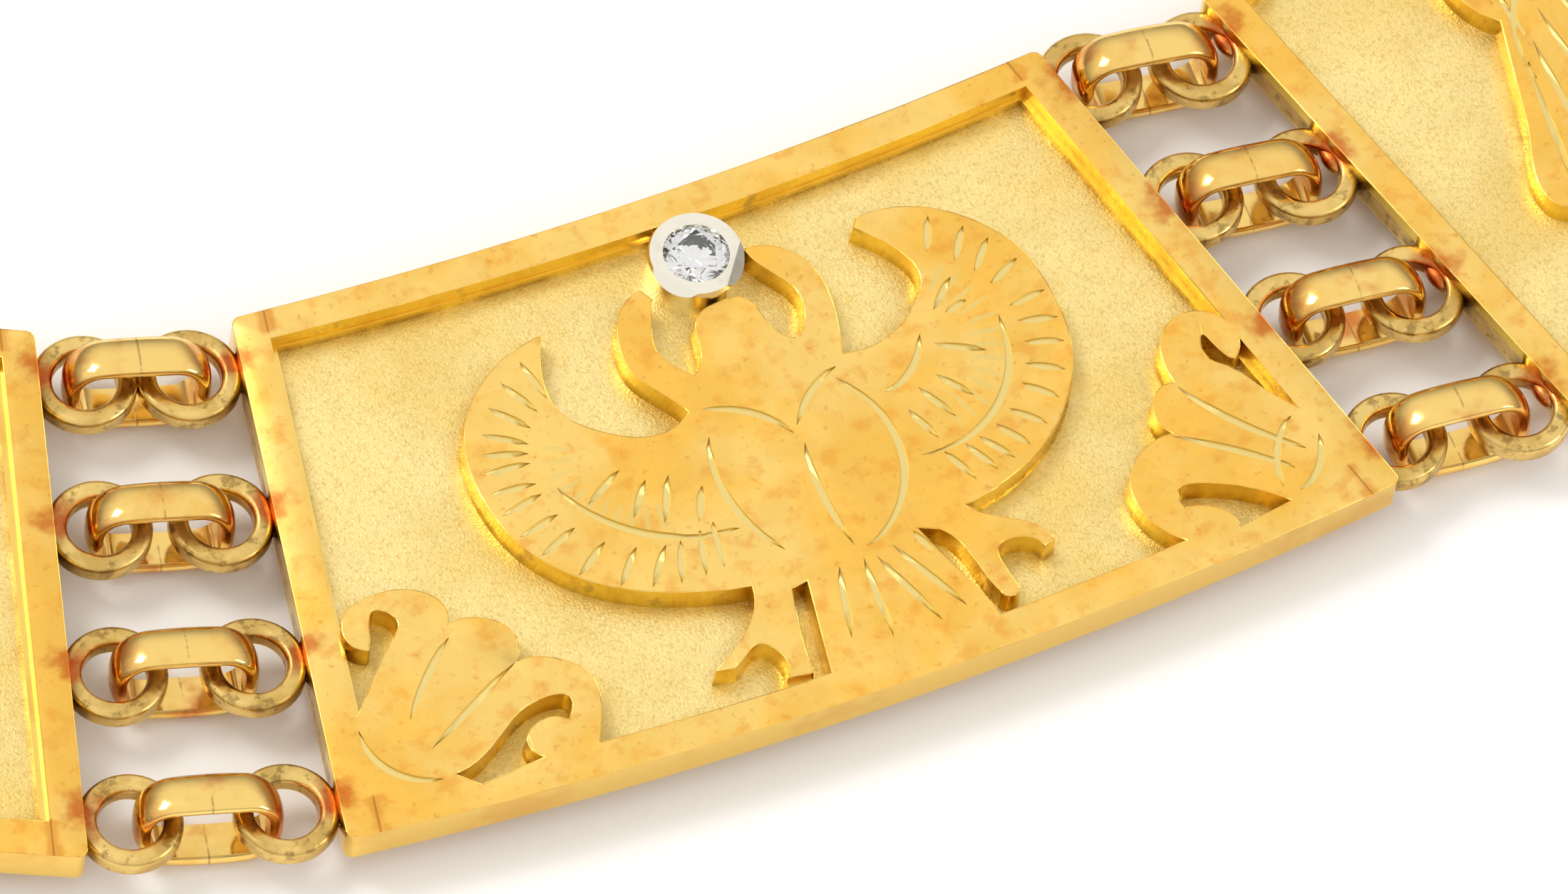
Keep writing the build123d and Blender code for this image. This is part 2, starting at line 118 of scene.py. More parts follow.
# Camera: an angled close look at the front plaque from above and to its left
LENS_MM = 678.59
SENSOR_MM = 36.0
CAMERA_DISTANCE = 881.6 * MM
CAMERA_AZIMUTH = math.radians(33.896)
CAMERA_ELEVATION = math.radians(58.553)
CAMERA_ROLL = math.radians(11.194)
LOOK_AT = Vector((0.390, -1.149, 1.2)) * MM

# The front plaque's middle, from its setting
SETTING_FROM_MIDDLE = Vector((0.57, 5.75, 0.0)) * MM
plaque_low, plaque_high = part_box("plaque_00")
setting_low, setting_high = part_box("bezel_00")
underside = plaque_low.z
front_middle = (setting_low + setting_high) / 2 - SETTING_FROM_MIDDLE
front_middle.z = underside


def linear(red, green, blue):
    """A screen colour, 0 to 255, as the light values that a shader takes."""
    out = []
    for value in (red, green, blue):
        share = value / 255
        out.append(share / 12.92 if share <= 0.04045 else ((share + 0.055) / 1.055) ** 2.4)
    return (*out, 1.0)


# Shader node groups that several finishes share


def add_node(tree, kind, **settings):
    made = tree.nodes.new(kind)
    for name, value in settings.items():
        setattr(made, name, value)
    return made


def new_group(name, inputs, outputs):
    """An empty node group with named sockets, and its two end nodes."""
    tree = bpy.data.node_groups.new(name, "ShaderNodeTree")
    for socket, kind, value in inputs:
        made = tree.interface.new_socket(socket, in_out="INPUT", socket_type=kind)
        if value is not None:
            made.default_value = value
    for socket, kind in outputs:
        tree.interface.new_socket(socket, in_out="OUTPUT", socket_type=kind)
    return tree, add_node(tree, "NodeGroupInput"), add_node(tree, "NodeGroupOutput")


def maths(tree, operation, first, second=None, clamp=False):
    """One Math node; each operand is a socket or a number."""
    made = add_node(tree, "ShaderNodeMath", operation=operation, use_clamp=clamp)
    for slot, value in enumerate((first, second)):
        if isinstance(value, bpy.types.NodeSocket):
            tree.links.new(value, made.inputs[slot])
        elif value is not None:
            made.inputs[slot].default_value = value
    return made.outputs[0]


def ramp(tree, value, low, high, to_low=0.0, to_high=1.0):
    """A smooth step from one value to another."""
    made = add_node(tree, "ShaderNodeMapRange", interpolation_type="SMOOTHSTEP")
    for name, operand in (
        ("Value", value), ("From Min", low), ("From Max", high), ("To Min", to_low), ("To Max", to_high)
    ):
        if isinstance(operand, bpy.types.NodeSocket):
            tree.links.new(operand, made.inputs[name])
        else:
            made.inputs[name].default_value = operand
    return made.outputs["Result"]


def length_of(tree, first, second):
    """The length of a vector with these two parts."""
    squares = [maths(tree, "POWER", part, 2.0) for part in (first, second)]
    return maths(tree, "SQRT", maths(tree, "ADD", *squares))


def make_patches_group():
    """Cloudy patches of tarnish: a mask from noise between two levels."""
    tree, start, end = new_group(
        "tarnish_patches",
        [
            ("Place", "NodeSocketVector", None),
            ("Scale", "NodeSocketFloat", 300.0),
            ("Low", "NodeSocketFloat", 0.5),
            ("High", "NodeSocketFloat", 0.7),
        ],
        [("Mask", "NodeSocketFloat")],
    )
    noise = add_node(tree, "ShaderNodeTexNoise")
    noise.inputs["Detail"].default_value = 4.0
    noise.inputs["Roughness"].default_value = 0.6
    tree.links.new(start.outputs["Place"], noise.inputs["Vector"])
    tree.links.new(start.outputs["Scale"], noise.inputs["Scale"])
    mask = ramp(tree, noise.outputs["Fac"], start.outputs["Low"], start.outputs["High"])
    tree.links.new(mask, end.inputs["Mask"])
    return tree


def make_grain_group():
    """A fine grain in the metal's face: its height as a normal, and the noise itself as a value."""
    tree, start, end = new_group(
        "metal_grain",
        [
            ("Place", "NodeSocketVector", None),
            ("Scale", "NodeSocketFloat", 6000.0),
            ("Strength", "NodeSocketFloat", 0.4),
            ("Depth", "NodeSocketFloat", 0.00001),
        ],
        [("Normal", "NodeSocketVector"), ("Value", "NodeSocketFloat")],
    )
    noise = add_node(tree, "ShaderNodeTexNoise")
    noise.inputs["Detail"].default_value = 2.0
    tree.links.new(start.outputs["Place"], noise.inputs["Vector"])
    tree.links.new(start.outputs["Scale"], noise.inputs["Scale"])
    bump = add_node(tree, "ShaderNodeBump")
    tree.links.new(start.outputs["Strength"], bump.inputs["Strength"])
    tree.links.new(start.outputs["Depth"], bump.inputs["Distance"])
    tree.links.new(noise.outputs["Fac"], bump.inputs["Height"])
    tree.links.new(bump.outputs["Normal"], end.inputs["Normal"])
    tree.links.new(noise.outputs["Fac"], end.inputs["Value"])
    return tree


def make_solder_group():
    """Heat stains where the side rings are soldered on and at the frame's corner seams,
    and the seams themselves, from the plaque's own coordinates in millimetres."""
    tree, start, end = new_group(
        "solder_marks",
        [
            ("Plaque Place", "NodeSocketVector", None),
            ("Place", "NodeSocketVector", None),
            ("Reach", "NodeSocketFloat", 1.1),
        ],
        [("Mask", "NodeSocketFloat"), ("Seam", "NodeSocketFloat"), ("Seam Stain", "NodeSocketFloat")],
    )
    split = add_node(tree, "ShaderNodeSeparateXYZ")
    tree.links.new(start.outputs["Plaque Place"], split.inputs[0])
    across = maths(tree, "ABSOLUTE", split.outputs["X"])
    down = maths(tree, "SUBTRACT", HALF_HEIGHT, split.outputs["Y"])
    out_from_top = maths(tree, "SUBTRACT", across, HALF_TOP)
    from_wall = maths(tree, "SUBTRACT", out_from_top, maths(tree, "MULTIPLY", down, WALL_SLOPE))
    from_wall = maths(tree, "ABSOLUTE", maths(tree, "DIVIDE", from_wall, WALL_STRETCH))
    from_seam = maths(tree, "ABSOLUTE", maths(tree, "SUBTRACT", from_wall, FRAME_WIDTH))
    from_middle = maths(tree, "ABSOLUTE", split.outputs["Y"])
    on_bars = ramp(tree, from_middle, HALF_HEIGHT - FRAME_WIDTH, HALF_HEIGHT - SEAM_START)
    along = maths(tree, "ADD", down, maths(tree, "MULTIPLY", out_from_top, WALL_SLOPE))
    from_first = maths(tree, "SUBTRACT", maths(tree, "DIVIDE", along, WALL_STRETCH), RING_FIRST)
    rows = maths(tree, "DIVIDE", from_first, RING_PITCH)
    from_row = maths(tree, "ABSOLUTE", maths(tree, "SUBTRACT", rows, maths(tree, "ROUND", rows)))
    from_row = maths(tree, "MULTIPLY", from_row, RING_PITCH)
    distance = length_of(tree, from_wall, from_row)
    noise = add_node(tree, "ShaderNodeTexNoise")
    noise.inputs["Scale"].default_value = 1500.0
    noise.inputs["Detail"].default_value = 3.0
    tree.links.new(start.outputs["Place"], noise.inputs["Vector"])
    cloud = maths(tree, "SUBTRACT", noise.outputs["Fac"], 0.5)
    worn = maths(tree, "ADD", distance, maths(tree, "MULTIPLY", cloud, STAIN_RAGGEDNESS))
    tree.links.new(ramp(tree, worn, start.outputs["Reach"], 0.1), end.inputs["Mask"])
    seam = maths(tree, "MULTIPLY", ramp(tree, from_seam, *SEAM_EDGES), on_bars)
    tree.links.new(seam, end.inputs["Seam"])
    stain = ramp(tree, maths(tree, "ADD", from_seam, cloud), SEAM_STAIN_REACH, 0.0)
    tree.links.new(maths(tree, "MULTIPLY", stain, on_bars), end.inputs["Seam Stain"])
    return tree


def make_feather_group():
    """Short strokes cut like rays between two circles about a wing's middle, as a mask."""
    tree, start, end = new_group(
        "feather_rays",
        [
            ("Plaque Place", "NodeSocketVector", None),
            ("Place", "NodeSocketVector", None),
            ("Middle X", "NodeSocketFloat", 0.0),
            ("Middle Y", "NodeSocketFloat", 0.0),
            ("Inner", "NodeSocketFloat", 2.0),
            ("Outer", "NodeSocketFloat", 3.0),
            ("Towards", "NodeSocketFloat", 0.0),
            ("Spread", "NodeSocketFloat", 1.0),
            ("Step", "NodeSocketFloat", 0.2),
        ],
        [("Mask", "NodeSocketFloat")],
    )
    split = add_node(tree, "ShaderNodeSeparateXYZ")
    tree.links.new(start.outputs["Plaque Place"], split.inputs[0])
    x = maths(tree, "SUBTRACT", split.outputs["X"], start.outputs["Middle X"])
    y = maths(tree, "SUBTRACT", split.outputs["Y"], start.outputs["Middle Y"])
    cosine = maths(tree, "COSINE", start.outputs["Towards"])
    sine = maths(tree, "SINE", start.outputs["Towards"])
    ahead = maths(tree, "ADD", maths(tree, "MULTIPLY", x, cosine), maths(tree, "MULTIPLY", y, sine))
    aside = maths(tree, "SUBTRACT", maths(tree, "MULTIPLY", y, cosine), maths(tree, "MULTIPLY", x, sine))
    radius = length_of(tree, x, y)
    angle = maths(tree, "ARCTAN2", aside, ahead)
    steps = maths(tree, "DIVIDE", angle, start.outputs["Step"])
    off = maths(tree, "ABSOLUTE", maths(tree, "SUBTRACT", steps, maths(tree, "ROUND", steps)))
    off = maths(tree, "MULTIPLY", maths(tree, "MULTIPLY", off, start.outputs["Step"]), radius)
    middle = maths(tree, "MULTIPLY", maths(tree, "ADD", start.outputs["Inner"], start.outputs["Outer"]), 0.5)
    reach = maths(tree, "SUBTRACT", start.outputs["Outer"], middle)
    from_middle = maths(tree, "ABSOLUTE", maths(tree, "SUBTRACT", radius, middle))
    towards_end = maths(tree, "POWER", maths(tree, "DIVIDE", from_middle, reach), 2.0)
    taper = maths(tree, "SUBTRACT", 1.0, towards_end, clamp=True)
    width = maths(tree, "MULTIPLY", taper, RAY_HALF_WIDTH)
    stroke = ramp(tree, maths(tree, "SUBTRACT", off, width), 0.0, -RAY_SOFTNESS)
    past_spread = maths(tree, "SUBTRACT", maths(tree, "ABSOLUTE", angle), start.outputs["Spread"])
    within = ramp(tree, past_spread, 0.0, -RAY_END_SOFTNESS)
    tree.links.new(maths(tree, "MULTIPLY", stroke, within), end.inputs["Mask"])
    return tree


patches_group = make_patches_group()
feather_group = make_feather_group()
grain_group = make_grain_group()
solder_group = make_solder_group()


# The colour sockets of a Mix node, which share their names with its other sockets
MIX_UNDER, MIX_OVER, MIX_RESULT = 6, 7, 2


class Finish:
    """A material under work: its shader, and the colour and roughness built up so far."""

    def __init__(self, name, colour, roughness, metallic=1.0):
        self.material = bpy.data.materials.new(name)
        self.material.use_nodes = True
        self.tree = self.material.node_tree
        self.shader = self.tree.nodes["Principled BSDF"]
        self.shader.inputs["Base Color"].default_value = colour
        self.shader.inputs["Roughness"].default_value = roughness
        self.shader.inputs["Metallic"].default_value = metallic
        self.place = add_node(self.tree, "ShaderNodeTexCoord").outputs["Object"]
        self.colour = None

    def group(self, tree, **values):
        made = add_node(self.tree, "ShaderNodeGroup")
        made.node_tree = tree
        self.tree.links.new(self.place, made.inputs["Place"])
        for name, value in values.items():
            made.inputs[name.replace("_", " ")].default_value = value
        return made

    def patches(self, scale, low, high):
        return self.group(patches_group, Scale=scale, Low=low, High=high).outputs["Mask"]

    def stain(self, mask, colour, amount=1.0):
        """Lays a colour over what is there, through a mask."""
        mix = add_node(self.tree, "ShaderNodeMix", data_type="RGBA")
        if amount != 1.0:
            mask = maths(self.tree, "MULTIPLY", mask, amount)
        self.tree.links.new(mask, mix.inputs["Factor"])
        if self.colour is None:
            mix.inputs[MIX_UNDER].default_value = self.shader.inputs["Base Color"].default_value[:]
        else:
            self.tree.links.new(self.colour, mix.inputs[MIX_UNDER])
        mix.inputs[MIX_OVER].default_value = colour
        self.colour = mix.outputs[MIX_RESULT]
        self.tree.links.new(self.colour, self.shader.inputs["Base Color"])

    def grain(self, scale, strength, depth):
        made = self.group(grain_group, Scale=scale, Strength=strength, Depth=depth)
        self.tree.links.new(made.outputs["Normal"], self.shader.inputs["Normal"])
        return made.outputs["Value"]

    def rough(self, mask, low, high):
        self.tree.links.new(ramp(self.tree, mask, 0.0, 1.0, low, high), self.shader.inputs["Roughness"])

    def corner_shade_and_grime(self, colour, depth, amount):
        """Painted shade: darkens corners and hollows by how closed in they are, broken up by patches like
        dirt.
        """
        # Painted shade: the occlusion of nearby faces becomes a mask that darkens the colour in corners and
        # hollows
        hollow = add_node(self.tree, "ShaderNodeAmbientOcclusion", samples=8, only_local=True)
        hollow.inputs["Distance"].default_value = depth * MM
        corners = ramp(self.tree, hollow.outputs["AO"], 0.92, 0.45)
        cloud = self.patches(700.0, 0.3, 0.6)
        self.stain(maths(self.tree, "MULTIPLY", corners, cloud), colour, amount)

    def feathers(self, rows, colour, amount):
        """Rows of rays: the wing's middle, the two radii, the way they face, their spread and step."""
        for middle_x, middle_y, inner, outer, towards, spread, step in rows:
            rays = self.group(
                feather_group, Middle_X=middle_x, Middle_Y=middle_y, Inner=inner, Outer=outer,
                Towards=math.radians(towards), Spread=math.radians(spread), Step=math.radians(step),
            )
            own = add_node(self.tree, "ShaderNodeUVMap", uv_map="plaque_place")
            self.tree.links.new(own.outputs["UV"], rays.inputs["Plaque Place"])
            self.stain(rays.outputs["Mask"], colour, amount)

    def solder(self, colour, reach, amount):
        marks = self.group(solder_group, Reach=reach)
        own = add_node(self.tree, "ShaderNodeUVMap", uv_map="plaque_place")
        self.tree.links.new(own.outputs["UV"], marks.inputs["Plaque Place"])
        self.stain(marks.outputs["Mask"], colour, amount)
        return marks


# Rows of fine rays between the deeper cuts of the scarab's wings: the wing's middle X and Y,
# the inner and outer radius in millimetres, then direction, half spread and step in degrees
SCARAB_RAYS = (
    (5.2, 0.6, 1.9, 3.3, -18.0, 66.0, 10.5),
    (-3.9, 0.2, 1.8, 2.9, 212.0, 60.0, 11.0),
)


def satin_gold(name, rays):
    """Tops of the frame and of the cast figures: warm satin gold with orange firing stains."""
    made = Finish(name, linear(249, 210, 118), 0.34)
    made.stain(made.patches(210.0, 0.4, 0.62), linear(246, 192, 82), 0.85)
    made.stain(made.patches(1300.0, 0.5, 0.7), linear(236, 160, 60), 0.5)
    made.stain(made.patches(3600.0, 0.58, 0.74), linear(210, 118, 38), 0.4)
    made.feathers(rays, linear(232, 206, 124), 0.7)
    marks = made.solder(linear(198, 88, 28), 0.85, 0.75)
    made.stain(marks.outputs["Seam Stain"], linear(222, 138, 50), 0.6)
    made.stain(marks.outputs["Seam"], linear(150, 104, 46), 0.55)
    made.grain(7000.0, 0.3, 0.00001)
    made.rough(made.patches(600.0, 0.35, 0.7), 0.3, 0.42)
    return made.material


def blasted_gold():
    """The sunk field: paler gold with a fine blasted grain, and painted shade darkening its corners."""
    made = Finish("blasted_gold", linear(249, 225, 154), 0.5)
    # Broad mottling of the field's tone, which also serves as painted soft dark reflections
    made.stain(made.patches(170.0, 0.38, 0.66), linear(238, 206, 120), 0.8)
    made.stain(made.patches(9000.0, 0.46, 0.7), linear(206, 168, 78), 0.5)
    # Painted shade in the field's corners and along the wall feet, broken up by patches like dirt
    made.corner_shade_and_grime(linear(176, 140, 58), 1.0, 0.55)
    made.grain(12000.0, 0.7, 0.000025)
    made.rough(made.patches(500.0, 0.35, 0.7), 0.38, 0.5)
    return made.material


def wall_gold():
    """Walls round the sunk field: cast and polished, with painted shade in their corners and grey dirt in
    patches.
    """
    made = Finish("wall_gold", linear(248, 212, 88), 0.24)
    made.stain(made.patches(420.0, 0.45, 0.62), linear(216, 168, 52), 0.5)
    # Painted shade where the walls meet the field and the figures, broken up by patches
    made.corner_shade_and_grime(linear(140, 108, 50), 0.5, 0.6)
    made.stain(made.patches(800.0, 0.58, 0.68), linear(150, 126, 92), 0.5)
    made.grain(5000.0, 0.3, 0.00001)
    return made.material


def groove_gold():
    """Floors of the graver's cuts: paler and duller."""
    made = Finish("groove_gold", linear(232, 208, 132), 0.45)
    made.grain(8000.0, 0.3, 0.00001)
    return made.material


def ring_gold():
    """Side rings: olive gold, dull in patches, darkened by painted shade in their hollows, stained where they
    are soldered on.
    """
    made = Finish("ring_gold", linear(238, 204, 124), 0.3)
    made.stain(made.patches(600.0, 0.38, 0.62), linear(198, 160, 84), 0.75)
    made.stain(made.patches(2600.0, 0.52, 0.66), linear(128, 98, 50), 0.6)
    # Painted shade where the rings meet the plaque's wall, broken up by patches
    made.corner_shade_and_grime(linear(92, 66, 34), 0.8, 0.8)
    made.solder(linear(176, 70, 24), 1.0, 0.85)
    made.grain(5200.0, 0.4, 0.000014)
    made.rough(made.patches(900.0, 0.35, 0.7), 0.22, 0.4)
    return made.material


def edge_gold():
    """Outer walls of a plaque: filed and polished."""
    made = Finish("edge_gold", linear(252, 212, 112), 0.16)
    made.stain(made.patches(380.0, 0.5, 0.68), linear(232, 176, 80), 0.5)
    made.solder(linear(160, 64, 26), 0.9, 0.85)
    made.grain(2600.0, 0.25, 0.00001)
    return made.material


def band_gold():
    """Band links: polished orange gold, tarnished at the ends, a red stain by the soldered seam, and painted
    shade inside.
    """
    made = Finish("band_gold", linear(252, 214, 126), 0.15)
    tree = made.tree
    own = add_node(tree, "ShaderNodeAttribute", attribute_name="band_place")
    split = add_node(tree, "ShaderNodeSeparateXYZ")
    tree.links.new(own.outputs["Vector"], split.inputs[0])
    along = maths(tree, "ABSOLUTE", split.outputs["X"])
    made.stain(made.patches(500.0, 0.45, 0.7), linear(242, 188, 88), 0.6)
    by_ends = maths(tree, "MULTIPLY", ramp(tree, along, 1.0, 2.2), made.patches(800.0, 0.36, 0.6))
    made.stain(by_ends, linear(198, 96, 28), 0.8)
    by_seam = maths(tree, "MULTIPLY", ramp(tree, along, 1.1, 0.1), made.patches(260.0, 0.5, 0.62))
    made.stain(by_seam, linear(204, 84, 34), 0.7)
    # Painted shade where the band closes in on itself, broken up by patches
    made.corner_shade_and_grime(linear(112, 74, 34), 0.9, 0.7)
    seam = maths(tree, "MULTIPLY", ramp(tree, along, 0.05, 0.015), made.patches(1800.0, 0.4, 0.55))
    made.stain(seam, linear(140, 84, 60), 0.5)
    made.grain(3800.0, 0.25, 0.00001)
    made.rough(made.patches(800.0, 0.35, 0.7), 0.1, 0.24)
    return made.material


def clasp_gold():
    """The plain clasp at the back: polished gold."""
    made = Finish("clasp_gold", linear(250, 208, 118), 0.16)
    made.stain(made.patches(420.0, 0.45, 0.7), linear(240, 184, 88), 0.6)
    made.grain(3800.0, 0.25, 0.00001)
    return made.material


def white_gold():
    made = Finish("white_gold", linear(246, 240, 224), 0.2)
    made.stain(made.patches(900.0, 0.5, 0.72), linear(218, 208, 184), 0.5)
    made.grain(5000.0, 0.2, 0.000008)
    return made.material


def brilliant():
    made = Finish("brilliant", (1.0, 1.0, 1.0, 1.0), 0.0, 0.0)
    made.shader.inputs["IOR"].default_value = 2.417
    made.shader.inputs["Transmission Weight"].default_value = 1.0
    return made.material


def paper():
    return Finish("paper", linear(252, 250, 247), 0.85, 0.0).material


SATIN, BLASTED, WALL, GROOVE, RING, EDGE = range(6)
shared_finishes = [blasted_gold(), wall_gold(), groove_gold(), ring_gold(), edge_gold()]
falcon_finishes = [satin_gold("satin_gold", ())] + shared_finishes
scarab_finishes = [satin_gold("satin_gold_rayed", SCARAB_RAYS)] + shared_finishes
band_finish = band_gold()
clasp_finish = clasp_gold()
white_finish = white_gold()
stone_finish = brilliant()


# Plaques


def height(corner):
    """How far a corner is above the plaques' underside, in millimetres."""
    return (corner.co.z - underside) / MM


def own_frame(sheet):
    """The plaque's own frame, from the two bottom corners of its underside."""
    corners = [v.co.copy() for v in sheet.verts if height(v) < NEAR]
    middle = sum(corners, Vector()) / len(corners)
    first = max(corners, key=lambda c: (c - middle).length)
    others = [c for c in corners if (c - first).length > HALF_BOTTOM * MM]
    second = max(others, key=lambda c: (c - middle).length)
    along = (second - first).normalized()
    inward = Vector((-along.y, along.x, 0))
    if inward.dot(middle - first) < 0:
        along, inward = -along, -inward
    origin = (first + second) / 2 + inward * HALF_HEIGHT * MM
    turned = Matrix((along, inward, Vector((0, 0, 1)))).transposed().to_4x4()
    return Matrix.Translation(Vector((origin.x, origin.y, underside))) @ turned


def outside_wall(spot):
    """How far a point of the plaque's own frame is beyond its side wall, in millimetres."""
    return (abs(spot.x) / MM - HALF_TOP - (HALF_HEIGHT - spot.y / MM) * WALL_SLOPE) / WALL_STRETCH


def find_grooves(sheet):
    """The faces of the graver's cuts: their level floors, and the walls that grow from them."""
    floors = []
    for face in sheet.faces:
        if face.normal.z > 0.99 and all(abs(height(v) - GROOVE_FLOOR) < NEAR for v in face.verts):
            floors.append(face)
    found = set(floors)
    while floors:
        around = [face for edge in floors.pop().edges for face in edge.link_faces]
        for face in around:
            wall = abs(face.normal.z) < 0.5 and min(map(height, face.verts)) > GROOVE_FLOOR - NEAR
            if wall and face not in found:
                found.add(face)
                floors.append(face)
    return found


def sort_faces(sheet, to_own):
    """Gives each face the finish of the place that it belongs to."""
    grooves = find_grooves(sheet)
    for face in sheet.faces:
        beside = outside_wall(to_own @ face.calc_center_median()) > -RING_ROOT
        heights = [height(v) for v in face.verts]
        low, high = min(heights), max(heights)
        level = face.normal.z > 0.99
        if level and low > THICKNESS - NEAR:
            face.material_index = SATIN
        elif face in grooves:
            face.material_index = GROOVE
        elif level and abs(low - FIELD) < NEAR and abs(high - FIELD) < NEAR:
            face.material_index = BLASTED
        elif beside and low > RING_LOW - NEAR and high < RING_HIGH + NEAR:
            face.material_index = RING
        elif low > FIELD - NEAR and abs(face.normal.z) < 0.5:
            face.material_index = WALL
        else:
            face.material_index = EDGE


def shift_corners(sheet, shifts, distance, kinds, least_rise):
    """Moves corners along the sum of their pushes, and puts those back whose level faces would fold."""
    before = {corner: corner.co.copy() for corner in shifts}
    for corner, pushes in shifts.items():
        push = sum(pushes, Vector())
        if push.length > 0:
            corner.co += push.normalized() * distance(corner) * MM
    for _ in range(FOLD_PASSES):
        sheet.normal_update()
        folded = [face for face in sheet.faces if face.material_index in kinds and face.normal.z < least_rise]
        if not folded:
            break
        for corner in {v for face in folded for v in face.verts if v in before}:
            corner.co = before[corner]


def draft_walls(sheet):
    """Moves the feet of the walls round the field outwards, so that they lean as cast walls do."""
    shifts = {}
    for face in sheet.faces:
        if face.material_index == WALL:
            out = Vector((face.normal.x, face.normal.y, 0))
            for corner in face.verts:
                if abs(height(corner) - FIELD) < NEAR:
                    shifts.setdefault(corner, []).append(out * face.calc_area())
    shift_corners(sheet, shifts, lambda corner: WALL_DRAFT, (BLASTED,), 0.9)


def open_grooves(sheet):
    """Raises the floors of the graver's cuts and leans their walls outwards, as a worn cut has them."""
    shifts = {}
    for face in sheet.faces:
        if face.material_index == GROOVE and abs(face.normal.z) < 0.5:
            back = Vector((-face.normal.x, -face.normal.y, 0)) * face.calc_area()
            for corner in face.verts:
                shifts.setdefault(corner, []).append(back)

    def spread(corner):
        return GROOVE_SPREAD if height(corner) > THICKNESS - NEAR else GROOVE_FLOOR_SPREAD

    shift_corners(sheet, shifts, spread, (SATIN, GROOVE), -0.5)
    for corner in sheet.verts:
        if abs(height(corner) - GROOVE_FLOOR) < NEAR:
            corner.co.z += GROOVE_RISE * MM


def inset(sheet, faces, width):
    """A flat strip of this many millimetres inside the faces' outline."""
    return bmesh.ops.inset_region(
        sheet, faces=faces, thickness=width * MM, depth=0, use_boundary=True, use_even_offset=True
    )["faces"]


def round_arrises(sheet):
    """Rounds the outlines of the frame and the figures with two narrow strips."""
    tops = [face for face in sheet.faces if face.material_index in (SATIN, GROOVE)]
    inside = set(tops)
    outlines = [e for face in tops for e in face.edges if any(f not in inside for f in e.link_faces)]
    rim = {v for e in outlines for v in e.verts}
    outer = inset(sheet, tops, SHOULDER_SHARE * ARRIS_ROUND)
    shoulder = {v for face in outer for v in face.verts} - rim
    inner = inset(sheet, tops, (1 - SHOULDER_SHARE) * ARRIS_ROUND)
    for corner in rim:
        corner.co.z -= ARRIS_ROUND * MM
    for corner in shoulder:
        corner.co.z -= SHOULDER_SHARE * ARRIS_ROUND * MM
    for face in [*outer, *inner]:
        face.material_index = SATIN
    return {*outer, *inner}


def file_left_edge(sheet, to_own):
    """Files the upper edge of the left wall to a narrow slope."""
    edges = []
    for edge in sheet.edges:
        ends = [to_own @ v.co / MM for v in edge.verts]
        high = all(end.z > THICKNESS - NEAR for end in ends)
        tall = abs(ends[0].y - ends[1].y) > FILED_LEAST_RUN
        outside = {face.material_index for face in edge.link_faces} == {SATIN, EDGE}
        if high and tall and outside and ends[0].x < 0:
            edges.append(edge)
    if edges:
        filed = bmesh.ops.bevel(
            sheet, geom=edges, offset=FILED_EDGE * MM, affect="EDGES", segments=1, profile=0.5, material=-1
        )
        for face in filed["faces"]:
            face.material_index = EDGE


def ring_middles(sheet, to_own):
    """The middles of the side rings in the plaque's own frame, from their level top faces."""
    rings = [face for face in sheet.faces if face.material_index == RING and face.normal.z > 0.99]
    middles = {}
    for face in (ring for ring in rings if height(ring.verts[0]) > RING_HIGH - NEAR):
        spot = to_own @ face.calc_center_median()
        x, y = spot.x / MM, spot.y / MM
        down = (HALF_HEIGHT - y + (abs(x) - HALF_TOP) * WALL_SLOPE) / WALL_STRETCH
        key = (x > 0, round((down - RING_FIRST) / RING_PITCH))
        middles.setdefault(key, []).append((x, y, face.calc_area()))
    out = []
    for rows in middles.values():
        area = sum(row[2] for row in rows)
        out.append((sum(r[0] * r[2] for r in rows) / area, sum(r[1] * r[2] for r in rows) / area))
    return out


def add_ledge(sheet, place):
    """The low step along the inside of the frame, where its bars are soldered to the plate."""
    known = set(sheet.faces)
    drawn_in = FRAME_WIDTH - LEDGE_LAP
    top, bottom = HALF_HEIGHT - drawn_in, -HALF_HEIGHT + drawn_in
    at_top = HALF_TOP + drawn_in * WALL_SLOPE - drawn_in * WALL_STRETCH
    at_bottom = HALF_BOTTOM - drawn_in * WALL_SLOPE - drawn_in * WALL_STRETCH
    corners = []
    for reach, level, bow, way in ((at_bottom, bottom, BOTTOM_BULGE, 1), (at_top, top, TOP_SAG, -1)):
        for step in range(BOW_STEPS + 1):
            share = way * (2 * step / BOW_STEPS - 1)
            y = level - bow * (1 - share**2)
            corners.append(sheet.verts.new(Vector((share * reach, y, FIELD - LEDGE_SINK)) * MM))
    plate = sheet.faces.new(corners)
    sheet.normal_update()
    rim = inset(sheet, [plate], LEDGE_WIDTH + LEDGE_LAP)
    at_foot = [face for face in rim if face.calc_center_median().y < (bottom + 2 * LEDGE_WIDTH) * MM]
    rim = [face for face in rim if face not in at_foot]
    bmesh.ops.delete(sheet, geom=[plate, *at_foot], context="FACES")
    drawn = bmesh.ops.extrude_face_region(sheet, geom=rim)["geom"]
    raised = [g for g in drawn if isinstance(g, bmesh.types.BMVert)]
    bmesh.ops.translate(sheet, verts=raised, vec=Vector((0, 0, LEDGE_HEIGHT + LEDGE_SINK)) * MM)
    fresh = [face for face in sheet.faces if face not in known]
    bmesh.ops.recalc_face_normals(sheet, faces=fresh)
    bmesh.ops.transform(sheet, matrix=place, verts=list({v for face in fresh for v in face.verts}))
    sheet.normal_update()
    for face in fresh:
        face.material_index = EDGE if face.normal.z > 0.5 else WALL
        for edge in face.edges:
            edge.smooth = edge.calc_face_angle(0) < SHARP_ANGLE


def add_foot(sheet, place):
    """The low web between the scarab's left foot and the frame."""
    spot = place @ Matrix.Translation(Vector(FOOT_MIDDLE) * MM) @ Matrix.Diagonal((*FOOT_SIZE, 1))
    block = bmesh.ops.create_cube(sheet, size=MM, matrix=spot)
    for face in {f for v in block["verts"] for f in v.link_faces}:
        face.material_index = SATIN
        for edge in face.edges:
            edge.smooth = False


